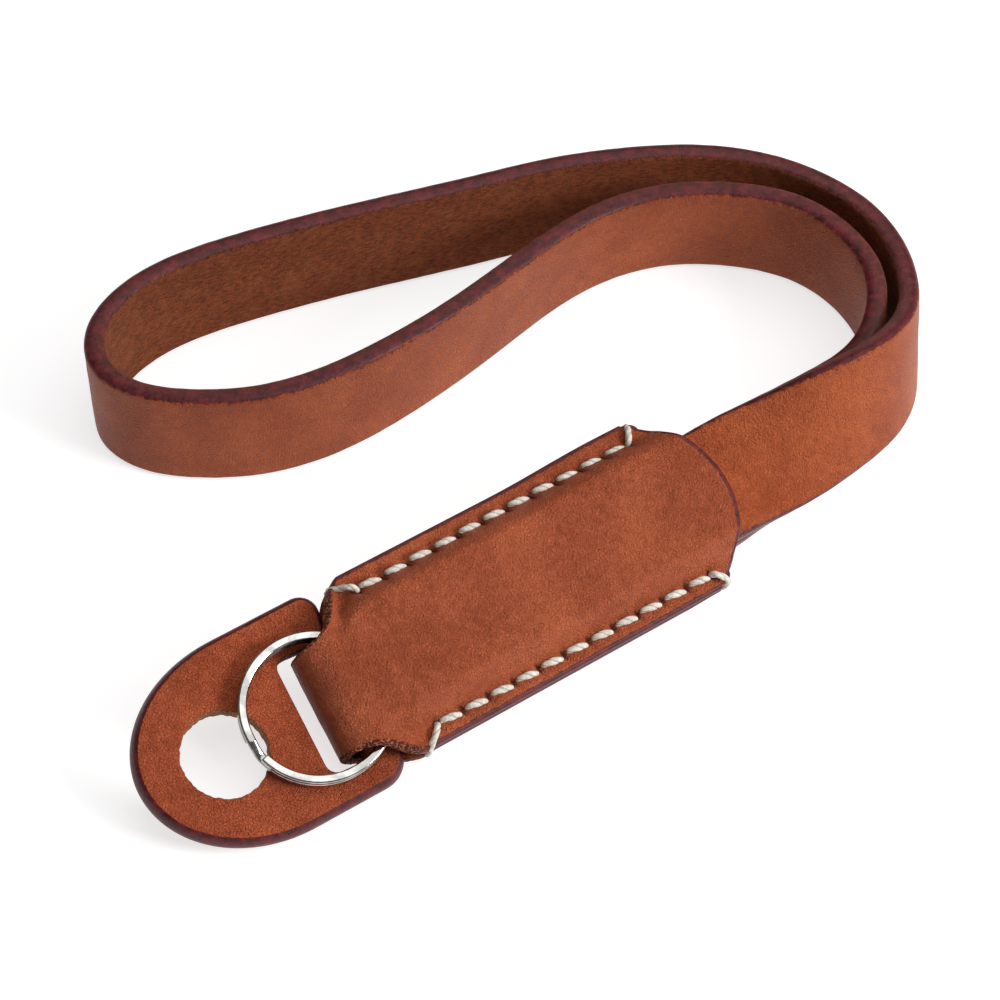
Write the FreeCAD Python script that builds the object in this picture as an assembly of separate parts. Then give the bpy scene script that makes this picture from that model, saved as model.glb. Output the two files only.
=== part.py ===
import FreeCAD, Part
import math
import os

V = FreeCAD.Vector

# ---- driving dimensions, millimetres and degrees --------------------------------------------
# flat leather strap that makes the hand loop
strap_width = 13.0
strap_thick = 2.4
strap_edge_round = 0.8
edge_settle = 0.08          # how far the lower edge is worn flat where it rests on the table
layer_gap = 0.2             # between the two strap ends where they lie back to back
strap_end_u = 5.0           # how far the strap ends stop inside the sleeve's neck end

# stitched sleeve, one dog-bone piece of thinner leather folded in half round the ring
hide_thick = 1.3
sleeve_length = 37.4        # along the seams
sleeve_half_width = 10.5
mouth_bulge = 4.9           # the rounded lip beyond the seams' mouth end
mouth_lip_half = 9.4
strap_clearance = 0.25
belly_half = strap_thick + layer_gap / 2 + strap_clearance + hide_thick
cavity_half = belly_half - hide_thick
cavity_half_width = strap_width / 2 + strap_clearance
cavity_corner_r = 0.7
flank = [(9.4, 1.45), (8.3, 2.35), (6.8, 3.55), (3.6, 4.0)]   # sleeve's height across its width

# folded neck that carries the ring and the pad
neck_half_height = 3.8
pocket_half_height = neck_half_height - hide_thick
neck_half_width = 6.0
neck_shift_v = -0.85
fold_centre_u = -5.05
fold_skew_deg = 4.0
neck_block_half = 7.4       # solid width at the fold before the flares are cut
flare_end_u = -7.2
flare_far = (-2.7, 7.9)     # middle points of the two hollow flares
flare_near = (-2.7, -8.9)

# saddle stitching
stitch_holes = 12
stitch_pitch = 3.18
first_hole_u = 1.1
seam_v = 8.45
seam_surface = 2.15         # height of the leather at the seam line
thread_radius = 0.42
thread_leg_radius = 0.3
thread_clearance = 0.05
stitch_slant = 0.22
stitch_lift = 0.12
wrap_offset = 0.3           # how far outside the sleeve's edge the end wraps pass

# split ring of flat wire, two coils
ring_outer_r = 8.1
ring_wire_width = 0.95
coil_height = 0.75
coil_gap = 0.06
ring_centre_u = -8.95
ring_centre_w = 1.1
ring_tilt_deg = 2.5
coil_end_deg = 6            # where the upper coil ends, turned from the side facing the pad's end
coil_end_slit = 0.25
bridge_length = 3.0         # the short ramp that joins the two coils

# protector pad
pad_top_w = -0.35
pad_thick = 1.6
pad_half_width = 10.9
pad_right_u = -2.7
pad_left_u = -28.4
pad_round_start_u = -14.5
pad_corner_r = 3.3
pad_hidden_hollow = 1.8     # how far the right edge is hollowed where the neck hides it
pad_hole_u = -19.2
pad_hole_v = -0.3
pad_hole_r = 4.6
slot_left_u = -10.35
slot_right_u = -6.1
slot_centre_v = -0.95
slot_half_length = 6.65
slot_corner_r = 1.2
flex_u = -9.0
flex_gap = 0.3

# how the keychain lies: the sleeve's own axes are u along it, v across it, w out of its face
sleeve_yaw = 34.2
sleeve_roll = 22.0
sleeve_origin = V(-12.9, -26.2, 6.3)

# route of the strap from the sleeve's mouth, round the loop and back into the mouth:
# x, y of the strap's middle, roll of its width above the table, and height over resting on its edge
route = [
    (25.4, -0.5, 30, 3.0), (30.3, 2.1, 43, 2.65), (36.3, 5.55, 60, 2.9), (41.4, 10.25, 72, 2.35),
    (44.7, 16.8, 83, 1.2), (45.2, 23.4, 87, 0.3), (43.7, 29.8, 90, 0), (41.0, 34.8, 90, 0),
    (36.7, 39.0, 90, 0), (30.5, 42.4, 90, 0), (23.1, 44.0, 90, 0), (14.1, 43.6, 90, 0),
    (5.1, 41.8, 90, 0), (-3.9, 38.8, 90, 0), (-13.9, 35.5, 90, 0), (-22.9, 32.4, 90, 0),
    (-31.9, 28.8, 90, 0), (-39.1, 24.9, 90, 0), (-43.8, 20.1, 90, 0), (-45.7, 14.9, 90, 0),
    (-44.6, 10.0, 90, 0), (-40.4, 6.6, 90, 0), (-34.9, 5.5, 90, 0), (-27.9, 5.9, 90, 0),
    (-21.0, 8.3, 90, 0), (-14.2, 12.6, 91, 0), (-7.1, 18.5, 93, 0), (-0.9, 24.6, 94, 0),
    (5.1, 30.6, 95, 0), (11.6, 35.4, 95, 0), (18.1, 37.8, 95, 0), (26.1, 38.0, 94, 0),
    (33.5, 35.8, 93, 0), (38.4, 31.4, 93, 0), (41.2, 25.9, 93, 0), (41.8, 19.2, 97, 0),
    (39.4, 11.5, 108, 0), (34.8, 7.0, 120, 0), (29.2, 3.4, 137, 0), (24.6, 0.66, 150, 0.6),
]
section_step = 4.0
straight_u = (strap_end_u, 16.0, 27.0, 36.0, 42.0)   # stations in the sleeve's straight channel


def sleeve_placement():
    turn = FreeCAD.Rotation(V(0, 0, 1), sleeve_yaw).multiply(FreeCAD.Rotation(V(1, 0, 0), sleeve_roll))
    return FreeCAD.Placement(sleeve_origin, turn)


def placed(shape):
    """Move a shape from the sleeve's own axes to where the sleeve lies."""
    moved = shape.copy()
    moved.transformShape(sleeve_placement().toMatrix())
    return moved


def resting_height(roll):
    angle = math.radians(roll)
    return strap_width / 2 * abs(math.sin(angle)) + strap_thick / 2 * abs(math.cos(angle))


def full_route():
    """The route with its straight ends inside the sleeve added, as (x, y, roll, lift) rows."""
    lie = sleeve_placement()
    half = (strap_thick + layer_gap) / 2
    rows = []
    for u in straight_u:
        p = lie.multVec(V(u, 0, half))
        rows.append((p.x, p.y, sleeve_roll, p.z - resting_height(sleeve_roll)))
    rows.extend((x, y, roll, lift - edge_settle) for x, y, roll, lift in route)
    for u in reversed(straight_u):
        p = lie.multVec(V(u, 0, -half))
        rows.append((p.x, p.y, 180 - sleeve_roll, p.z - resting_height(sleeve_roll)))
    return rows


def natural_spline(knots, values):
    """Natural cubic spline through the values; returns a function giving value and slope."""
    n = len(knots)
    h = [knots[i + 1] - knots[i] for i in range(n - 1)]
    lower = [0.0] * n
    rhs = [0.0] * n
    for i in range(1, n - 1):
        slope_change = (values[i + 1] - values[i]) / h[i] - (values[i] - values[i - 1]) / h[i - 1]
        pivot = 2 * (h[i - 1] + h[i]) - h[i - 1] * lower[i - 1]
        lower[i] = h[i] / pivot
        rhs[i] = (6 * slope_change - h[i - 1] * rhs[i - 1]) / pivot
    bend = [0.0] * n
    for i in range(n - 2, 0, -1):
        bend[i] = rhs[i] - lower[i] * bend[i + 1]

    def at(t):
        i = 0
        while i < n - 2 and t > knots[i + 1]:
            i += 1
        a = (knots[i + 1] - t) / h[i]
        b = 1 - a
        value = a * values[i] + b * values[i + 1]
        value += ((a ** 3 - a) * bend[i] + (b ** 3 - b) * bend[i + 1]) * h[i] ** 2 / 6
        slope = (values[i + 1] - values[i]) / h[i]
        slope += ((3 * b * b - 1) * bend[i + 1] - (3 * a * a - 1) * bend[i]) * h[i] / 6
        return value, slope
    return at


def strap_frames():
    """Centre, width direction and face normal of the strap at even steps along its route."""
    rows = full_route()
    knots = [0.0]
    for p, q in zip(rows, rows[1:]):
        knots.append(knots[-1] + math.hypot(q[0] - p[0], q[1] - p[1]))
    fx, fy, froll, flift = [natural_spline(knots, [row[k] for row in rows]) for k in range(4)]
    count = int(knots[-1] / section_step)
    frames = []
    for i in range(count + 1):
        t = knots[-1] * i / count
        x, dx = fx(t)
        y, dy = fy(t)
        roll = froll(t)[0]
        angle = math.radians(roll)
        flat = math.hypot(dx, dy)
        outward = V(dy / flat, -dx / flat, 0)
        normal = outward * math.sin(angle) + V(0, 0, math.cos(angle))
        across = outward * -math.cos(angle) + V(0, 0, math.sin(angle))
        centre = V(x, y, resting_height(roll) + flift(t)[0])
        frames.append((centre, across, normal))
    return frames


def strap_section(centre, across, normal):
    """Flat strap section with rounded corners."""
    a = strap_width / 2
    b = strap_thick / 2
    r = strap_edge_round
    k = r * (1 - math.sqrt(0.5))

    def p(i, j):
        return centre + across * i + normal * j

    corners = [(1, 1), (-1, 1), (-1, -1), (1, -1)]
    edges = []
    for n, (s, t) in enumerate(corners):
        along_first = s * t < 0
        start = p(s * a, t * (b - r)) if not along_first else p(s * (a - r), t * b)
        end = p(s * (a - r), t * b) if not along_first else p(s * a, t * (b - r))
        edges.append(Part.Arc(start, p(s * (a - k), t * (b - k)), end).toShape())
        s2, t2 = corners[(n + 1) % 4]
        next_start = p(s2 * a, t2 * (b - r)) if s2 * t2 > 0 else p(s2 * (a - r), t2 * b)
        edges.append(Part.makeLine(end, next_start))
    return Part.Wire(edges)


def loop_strap():
    """The whole strap, its lower edge flat where it rests on the table."""
    wires = [strap_section(*frame) for frame in strap_frames()]
    band = Part.makeLoft(wires, True, False)
    table = Part.makeBox(200, 200, 5, V(-100, -100, -5))
    return band.cut(table)


def lens_wire(u, half_width, seam_half, mid_half, sides):
    """Section of the sleeve across its length: flat seam edges and a raised middle."""
    top = [(-half_width, seam_half)] + [(-v, w) for v, w in sides] + [(0, mid_half)]
    top += [(v, w) for v, w in reversed(sides)] + [(half_width, seam_half)]
    upper = Part.BSplineCurve()
    upper.interpolate([V(u, v, w) for v, w in top])
    lower = Part.BSplineCurve()
    lower.interpolate([V(u, v, -w) for v, w in reversed(top)])
    right = Part.makeLine(V(u, half_width, seam_half), V(u, half_width, -seam_half))
    left = Part.makeLine(V(u, -half_width, -seam_half), V(u, -half_width, seam_half))
    return Part.Wire([upper.toShape(), right, lower.toShape(), left])


def polygon(u, points):
    return Part.makePolygon([V(u, v, w) for v, w in points + points[:1]])


def mirrored(points):
    """Close a half outline, given from +v to the middle line, round all four quarters."""
    upper = points + [(-v, w) for v, w in reversed(points)]
    return upper + [(v, -w) for v, w in reversed(upper)]


def sleeve_outline():
    """Plan of the folded dog-bone: rounded mouth lip, straight seams, hollow flares, neck."""
    hw = sleeve_half_width
    end = fold_centre_u - neck_half_height - 2
    top_neck = neck_half_width + neck_shift_v
    low_neck = -neck_half_width + neck_shift_v
    lip_u = sleeve_length + 0.6
    edges = [
        Part.makeLine(V(0, hw, 0), V(sleeve_length, hw, 0)),
        Part.makeLine(V(sleeve_length, hw, 0), V(lip_u, mouth_lip_half, 0)),
        Part.Arc(V(lip_u, mouth_lip_half, 0), V(sleeve_length + mouth_bulge, 0, 0),
                 V(lip_u, -mouth_lip_half, 0)).toShape(),
        Part.makeLine(V(lip_u, -mouth_lip_half, 0), V(sleeve_length, -hw, 0)),
        Part.makeLine(V(sleeve_length, -hw, 0), V(0, -hw, 0)),
        Part.Arc(V(0, -hw, 0), V(*flare_near, 0), V(flare_end_u, low_neck, 0)).toShape(),
        Part.makeLine(V(flare_end_u, low_neck, 0), V(end, low_neck, 0)),
        Part.makeLine(V(end, low_neck, 0), V(end, top_neck, 0)),
        Part.makeLine(V(end, top_neck, 0), V(flare_end_u, top_neck, 0)),
        Part.Arc(V(flare_end_u, top_neck, 0), V(*flare_far, 0), V(0, hw, 0)).toShape(),
    ]
    face = Part.Face(Part.Wire(edges))
    face.translate(V(0, 0, -10))
    return face.extrude(V(0, 0, 20))


def neck_fold():
    """The half-round fold with two short straight walls, a constant leather thickness."""
    ro = neck_half_height
    ri = pocket_half_height
    c = fold_centre_u
    tail = c + 1.0
    edges = [
        Part.makeLine(V(tail, 0, ro), V(c, 0, ro)),
        Part.Arc(V(c, 0, ro), V(c - ro, 0, 0), V(c, 0, -ro)).toShape(),
        Part.makeLine(V(c, 0, -ro), V(tail, 0, -ro)),
        Part.makeLine(V(tail, 0, -ro), V(tail, 0, -ri)),
        Part.makeLine(V(tail, 0, -ri), V(c, 0, -ri)),
        Part.Arc(V(c, 0, -ri), V(c - ri, 0, 0), V(c, 0, ri)).toShape(),
        Part.makeLine(V(c, 0, ri), V(tail, 0, ri)),
        Part.makeLine(V(tail, 0, ri), V(tail, 0, ro)),
    ]
    face = Part.Face(Part.Wire(edges))
    face.translate(V(0, -neck_half_width + neck_shift_v, 0))
    fold = face.extrude(V(0, 2 * neck_half_width, 0))
    fold.rotate(V(c, neck_shift_v, 0), V(0, 0, 1), -fold_skew_deg)
    return fold


def sleeve_cover(threads):
    """Raised body and folded neck, with the strap channel, the ring pocket and the stitch holes."""
    far_end = sleeve_length + mouth_bulge + 1
    body_wire = lens_wire(0, sleeve_half_width, hide_thick, belly_half, flank)
    body = Part.Face(body_wire).extrude(V(far_end, 0, 0))
    level = [(v * neck_block_half / sleeve_half_width, neck_half_height) for v, w in flank]
    neck_wire = lens_wire(fold_centre_u, neck_block_half, neck_half_height, neck_half_height, level)
    neck = Part.makeLoft([body_wire, neck_wire], True, True)
    channel = Part.makeBox(far_end + 1, 2 * cavity_half_width, 2 * cavity_half,
                           V(-0.5, -cavity_half_width, -cavity_half))
    long_edges = [e for e in channel.Edges if abs(e.tangentAt(e.FirstParameter).x) > 0.9]
    channel = channel.makeFillet(cavity_corner_r, long_edges)
    wide = sleeve_half_width + 1
    start = polygon(0.01, mirrored([(wide, 0.3), (cavity_half_width, cavity_half - 0.3)]))
    finish = polygon(fold_centre_u - 0.01,
                     mirrored([(wide, pocket_half_height), (cavity_half_width, pocket_half_height)]))
    pocket = Part.makeLoft([start, finish], True, True)
    cover = body.fuse(neck).common(sleeve_outline())
    cover = cover.cut(channel).cut(pocket)
    cover = cover.fuse(neck_fold())
    for thread in threads:
        cover = cover.cut(thread)
    return cover.removeSplitter()


def spindle(start, end, radius, flatness=0.35):
    """A stitch: full in the middle, drawn in towards the two holes."""
    length = (end - start).Length
    tip = radius * flatness
    arc = Part.Arc(V(tip, 0, 0), V(radius, 0, length / 2), V(tip, 0, length)).toShape()
    lines = [Part.makeLine(V(tip, 0, length), V(0, 0, length)),
             Part.makeLine(V(0, 0, length), V(0, 0, 0)),
             Part.makeLine(V(0, 0, 0), V(tip, 0, 0))]
    solid = Part.Face(Part.Wire([arc] + lines)).revolve(V(0, 0, 0), V(0, 0, 1), 360)
    turn = FreeCAD.Rotation(V(0, 0, 1), end - start)
    solid.transformShape(FreeCAD.Placement(start, turn).toMatrix())
    return solid


def stitch_thread(side, grow):
    """One row of saddle stitching: a stitch on each face between holes, and a wrap at each end."""
    r = thread_radius + grow
    leg = thread_leg_radius + grow
    pieces = []
    for i in range(stitch_holes):
        u = first_hole_u + i * stitch_pitch
        pieces.append(Part.makeCylinder(leg, 2 * seam_surface, V(u, side * seam_v, -seam_surface)))
        if i < stitch_holes - 1:
            for face in (1, -1):
                height = face * (seam_surface + stitch_lift)
                p = V(u, side * seam_v + stitch_slant, height)
                q = V(u + stitch_pitch, side * seam_v - stitch_slant, height)
                pieces.append(spindle(p, q, r))
    for u in (first_hole_u, first_hole_u + (stitch_holes - 1) * stitch_pitch):
        edge_v = side * (sleeve_half_width + wrap_offset)
        for face in (1, -1):
            inner = V(u, side * (seam_v - 0.1), face * (seam_surface + 0.05))
            outer = V(u, edge_v, face * (hide_thick + 0.05))
            pieces.append(spindle(inner, outer, r, 0.7))
        over = hide_thick + 0.15
        pieces.append(spindle(V(u, edge_v, over), V(u, edge_v, -over), r, 0.7))
    return pieces[0].multiFuse(pieces[1:])


def split_ring():
    """Two coils of flat wire joined at the closed side of the ring, with the outer coil's end step."""
    inner_r = ring_outer_r - ring_wire_width
    half = coil_height + coil_gap / 2
    coils = []
    for side in (1, -1):
        base = coil_gap / 2 if side > 0 else -half
        ring = Part.makeCylinder(ring_outer_r, coil_height, V(0, 0, base))
        ring = ring.cut(Part.makeCylinder(inner_r, coil_height, V(0, 0, base)))
        coils.append(ring)
    bridge = Part.makeBox(ring_wire_width - 0.1, bridge_length, 2 * half,
                          V(inner_r + 0.05, -bridge_length / 2, -half))
    bridge = bridge.common(Part.makeCylinder(ring_outer_r, 2 * half, V(0, 0, -half)))
    end_cut = Part.makeBox(ring_wire_width + 2, coil_end_slit, coil_height + 1,
                           V(-ring_outer_r - 1, 0, coil_gap / 2))
    end_cut.rotate(V(0, 0, 0), V(0, 0, 1), coil_end_deg)
    body = coils[0].fuse(coils[1]).fuse(bridge).cut(end_cut)
    body.rotate(V(0, 0, 0), V(0, 1, 0), -ring_tilt_deg)
    body.translate(V(ring_centre_u, neck_shift_v, ring_centre_w))
    return body


def pad_plate():
    """The whole protector pad: round end with the lug hole, slot for the sleeve's neck."""
    hw = pad_half_width
    r = pad_corner_r
    k = r * (1 - math.sqrt(0.5))
    right = pad_right_u
    left = pad_round_start_u
    bottom = pad_top_w - pad_thick
    round_end = Part.Ellipse(V(left, 0, 0), left - pad_left_u, hw)
    edges = [
        Part.makeLine(V(left, hw, 0), V(right - r, hw, 0)),
        Part.Arc(V(right - r, hw, 0), V(right - k, hw - k, 0), V(right, hw - r, 0)).toShape(),
        Part.Arc(V(right, hw - r, 0), V(right - pad_hidden_hollow, 0, 0),
                 V(right, -hw + r, 0)).toShape(),
        Part.Arc(V(right, -hw + r, 0), V(right - k, -hw + k, 0), V(right - r, -hw, 0)).toShape(),
        Part.makeLine(V(right - r, -hw, 0), V(left, -hw, 0)),
        Part.ArcOfEllipse(round_end, math.pi / 2, 3 * math.pi / 2).toShape(),
    ]
    face = Part.Face(Part.Wire(edges))
    face.translate(V(0, 0, bottom))
    plate = face.extrude(V(0, 0, pad_thick))
    hole = Part.makeCylinder(pad_hole_r, pad_thick + 2, V(pad_hole_u, pad_hole_v, bottom - 1))
    slot_width = slot_right_u - slot_left_u
    slot = Part.makeBox(slot_width, 2 * slot_half_length, pad_thick + 2,
                        V(slot_left_u, slot_centre_v - slot_half_length, bottom - 1))
    upright = [e for e in slot.Edges if abs(e.tangentAt(e.FirstParameter).z) > 0.9]
    slot = slot.makeFillet(slot_corner_r, upright)
    slot_middle = V((slot_left_u + slot_right_u) / 2, slot_centre_v, 0)
    slot.rotate(slot_middle, V(0, 0, 1), -fold_skew_deg)
    return plate.cut(hole).cut(slot)


def pad_half(plate, sign):
    """The part of the pad on one side of its flex line through the slot."""
    low = flex_u + flex_gap / 2 if sign > 0 else -40
    high = 10 if sign > 0 else flex_u - flex_gap / 2
    return plate.common(Part.makeBox(high - low, 40, 20, V(low, -20, -10)))


def main():
    os.makedirs("parts", exist_ok=True)
    grooves = [stitch_thread(side, thread_clearance) for side in (1, -1)]
    plate = pad_plate()
    parts = {
        "loop_strap": loop_strap(),
        "sleeve_cover": placed(sleeve_cover(grooves)),
        "stitch_thread_far": placed(stitch_thread(1, 0)),
        "stitch_thread_near": placed(stitch_thread(-1, 0)),
        "split_ring": placed(split_ring()),
        "pad_tab": placed(pad_half(plate, 1)),
        "pad_flap": placed(pad_half(plate, -1)),
    }
    for name, shape in parts.items():
        shape.exportStep("parts/" + name + ".step")
        box = shape.BoundBox
        print(name, "solids", len(shape.Solids), "valid", shape.isValid(),
              "volume", round(shape.Volume, 1), "lowest", round(box.ZMin, 2))


main()
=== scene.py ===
import bmesh
import bpy
import math
import random
import numpy as np
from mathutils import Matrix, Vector, noise


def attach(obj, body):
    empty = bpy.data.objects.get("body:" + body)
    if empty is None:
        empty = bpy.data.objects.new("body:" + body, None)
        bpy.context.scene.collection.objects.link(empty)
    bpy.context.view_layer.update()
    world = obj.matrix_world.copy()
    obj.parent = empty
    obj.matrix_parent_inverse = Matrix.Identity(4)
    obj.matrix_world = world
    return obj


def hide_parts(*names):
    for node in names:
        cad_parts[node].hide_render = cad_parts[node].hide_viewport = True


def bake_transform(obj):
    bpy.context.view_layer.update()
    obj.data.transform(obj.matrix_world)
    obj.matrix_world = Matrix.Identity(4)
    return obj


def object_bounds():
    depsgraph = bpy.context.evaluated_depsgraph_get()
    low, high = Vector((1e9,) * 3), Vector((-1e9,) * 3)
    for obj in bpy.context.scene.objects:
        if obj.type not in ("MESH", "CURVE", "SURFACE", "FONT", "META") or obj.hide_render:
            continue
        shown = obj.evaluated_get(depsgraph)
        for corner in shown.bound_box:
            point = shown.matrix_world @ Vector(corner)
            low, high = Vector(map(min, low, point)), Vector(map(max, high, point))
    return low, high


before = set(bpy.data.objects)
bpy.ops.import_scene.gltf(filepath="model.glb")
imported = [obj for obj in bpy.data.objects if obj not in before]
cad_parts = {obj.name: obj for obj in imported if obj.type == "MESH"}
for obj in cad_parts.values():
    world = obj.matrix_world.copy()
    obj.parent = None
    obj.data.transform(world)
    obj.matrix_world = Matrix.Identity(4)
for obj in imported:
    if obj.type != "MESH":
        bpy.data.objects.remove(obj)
cad_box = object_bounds()
random.seed(7)

MM = 0.001

# ---- sizes shared with the CAD, in millimetres and degrees ----------------------------------
strap_width, strap_thick = 13.0, 2.4
layer_gap = 0.2
sleeve_yaw, sleeve_roll = 34.2, 22.0
sleeve_origin = np.array([-12.9, -26.2, 6.3])
straight_u = (5.0, 16.0, 27.0, 36.0, 42.0)     # places along the sleeve that the straps pass
# the rest of the strap's way: x, y, turn in degrees (0 lies flat, 90 stands on edge), and lift
route = [
    (25.4, -0.5, 30, 3.0), (30.3, 2.1, 43, 2.65), (36.3, 5.55, 60, 2.9), (41.4, 10.25, 72, 2.35),
    (44.7, 16.8, 83, 1.2), (45.2, 23.4, 87, 0.3), (43.7, 29.8, 90, 0), (41.0, 34.8, 90, 0),
    (36.7, 39.0, 90, 0), (30.5, 42.4, 90, 0), (23.1, 44.0, 90, 0), (14.1, 43.6, 90, 0),
    (5.1, 41.8, 90, 0), (-3.9, 38.8, 90, 0), (-13.9, 35.5, 90, 0), (-22.9, 32.4, 90, 0),
    (-31.9, 28.8, 90, 0), (-39.1, 24.9, 90, 0), (-43.8, 20.1, 90, 0), (-45.7, 14.9, 90, 0),
    (-44.6, 10.0, 90, 0), (-40.4, 6.6, 90, 0), (-34.9, 5.5, 90, 0), (-27.9, 5.9, 90, 0),
    (-21.0, 8.3, 90, 0), (-14.2, 12.6, 91, 0), (-7.1, 18.5, 93, 0), (-0.9, 24.6, 94, 0),
    (5.1, 30.6, 95, 0), (11.6, 35.4, 95, 0), (18.1, 37.8, 95, 0), (26.1, 38.0, 94, 0),
    (33.5, 35.8, 93, 0), (38.4, 31.4, 93, 0), (41.2, 25.9, 93, 0), (41.8, 19.2, 97, 0),
    (39.4, 11.5, 108, 0), (34.8, 7.0, 120, 0), (29.2, 3.4, 137, 0), (24.6, 0.66, 150, 0.6),
]
hide_thick = 1.3
sleeve_length, sleeve_half_width = 37.4, 10.5
mouth_bulge, mouth_lip_half = 4.9, 9.4
belly_half = 4.05
neck_half_height, neck_shift_v = 3.8, -0.85
fold_centre_u, fold_skew_deg = -5.05, 4.0
# half of the sleeve's width towards the neck, as places along it and widths
flare_far = [(-14, 4.75), (-8.5, 4.75), (-6.4, 4.95), (-5.2, 5.4), (-4.0, 6.2), (-2.7, 7.5),
             (-1.5, 9.0), (0.0, 10.2), (8.0, 10.2)]
flare_near = [(-14, 6.5), (-9.0, 6.5), (-6.4, 7.1), (-5.0, 7.55), (-3.5, 8.35), (-2.1, 9.6),
              (-1.0, 10.1), (0.0, 10.0), (8.0, 10.2)]
stitch_holes, stitch_pitch, first_hole_u, seam_v = 12, 3.18, 1.1, 8.45
last_hole_u = first_hole_u + (stitch_holes - 1) * stitch_pitch
thread_radius = 0.41
ring_outer_r, ring_wire_width, coil_height, coil_gap = 8.1, 0.95, 0.75, 0.06
ring_centre_u, ring_centre_w, ring_tilt_deg = -8.95, 1.1, 2.5
pad_top_w, pad_thick, pad_half_width = -0.35, 1.6, 10.9
pad_right_u, pad_left_u, pad_round_start_u, pad_corner_r = -2.7, -28.4, -14.5, 3.3
pad_hidden_hollow = 1.8
pad_hole_u, pad_hole_v, pad_hole_r = -19.2, -0.3, 4.6
slot_left_u, slot_right_u, slot_centre_v, slot_half_length = -10.35, -6.1, -0.95, 6.65
slot_corner_r = 1.2

# ---- sizes of the looks alone, in millimetres -----------------------------------------------
band_round, band_rim = 0.75, 0.25       # rounded edge of the strap, and its rim value there
body_half_far, mouth_gain, body_half_near = 10.25, 0.4, 9.95    # half widths of the sleeve's body
lip_start, lip_corner_drop = 0.6, 1.6
shoulder_v, foot_v, crown, groove = 5.8, 9.6, 0.08, 0.16        # section of the sleeve's body
meeting_v, meeting_gap, square_v = 7.2, 0.02, 8.4               # where the two layers meet
lip_push, edge_bulge = 0.42, 0.26       # how far the rounded edges stand out
layers_line_shade, face_rim = 0.9, 5.0        # painted shade along the line between the layers; rim value off the edges
table_gap = 0.03
seam_drift = 0.5            # how much nearer the middle the far seam starts, at the neck
slit_deg, slit_half_length, slit_half_width = 68, 0.62, 0.30
slit_depth, thread_dent = 0.35, 0.12
hole_inset, stitch_slant, stitch_lift, stitch_dive = 0.45, 0.2, 0.10, 0.42
# the wraps over the edge, by side: their hole, and their lean along the seam and across it
end_wraps = {1: [(first_hole_u, -2.2, 1.55), (last_hole_u, 1.3, 1.95)],
             -1: [(first_hole_u, -1.9, 1.75), (last_hole_u, 1.55, 1.35)]}
coil_end_deg, coil_end_gap_deg = 186, 9     # where the wire's two ends lie, and half their gap
pad_flare, pad_extra_depth = 0.45, 0.25     # spread and depth of the pad's burnished edge
pad_far_corner_r = 1.9
no_edge_near = 99.0


# ---- the sleeve's own axes ------------------------------------------------------------------
yaw, roll = math.radians(sleeve_yaw), math.radians(sleeve_roll)
axis_u = np.array([math.cos(yaw), math.sin(yaw), 0.0])
axis_v = np.array([-math.sin(yaw) * math.cos(roll), math.cos(yaw) * math.cos(roll), math.sin(roll)])
axis_w = np.cross(axis_u, axis_v)


def lie(points):
    """Points given along the sleeve, across it and out of its face, in the shared frame in mm."""
    points = np.asarray(points, float)
    return (sleeve_origin + points[..., 0:1] * axis_u + points[..., 1:2] * axis_v
            + points[..., 2:3] * axis_w)


# ---- mesh helpers ---------------------------------------------------------------------------
def smoothstep(low, high, x):
    """Smooth rise from 0 at low to 1 at high."""
    t = np.clip((np.asarray(x, float) - low) / (high - low), 0, 1)
    return t * t * (3 - 2 * t)


def wobble(points, scale, seed):
    """Smooth noise at each point, from -1 to 1."""
    shift = Vector((seed * 7.1, seed * 3.7, seed * 5.3))
    return np.array([noise.noise(Vector(p) * scale + shift) for p in points])


def build(name, points, faces, attributes, material):
    """A mesh object from points in mm, with one number per point in each attribute."""
    mesh = bpy.data.meshes.new(name)
    mesh.from_pydata([tuple(p) for p in np.asarray(points) * MM], [], faces)
    for key, values in attributes.items():
        layer = mesh.attributes.new(key, "FLOAT", "POINT")
        layer.data.foreach_set("value", np.asarray(values, dtype=np.float32))
    mesh.polygons.foreach_set("use_smooth", [True] * len(mesh.polygons))
    mesh.materials.append(material)
    mesh.update()
    obj = bpy.data.objects.new(name, mesh)
    bpy.context.scene.collection.objects.link(obj)
    return obj


def loft_faces(rows, cols, first=0, caps=True):
    """Quads between closed loops of points, with a flat cap at each end if asked."""
    faces = []
    for i in range(rows - 1):
        for j in range(cols):
            k = (j + 1) % cols
            a = first + i * cols
            b = a + cols
            faces.append((a + j, a + k, b + k, b + j))
    if caps:
        faces.append(tuple(first + j for j in reversed(range(cols))))
        faces.append(tuple(first + (rows - 1) * cols + j for j in range(cols)))
    return faces


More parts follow.
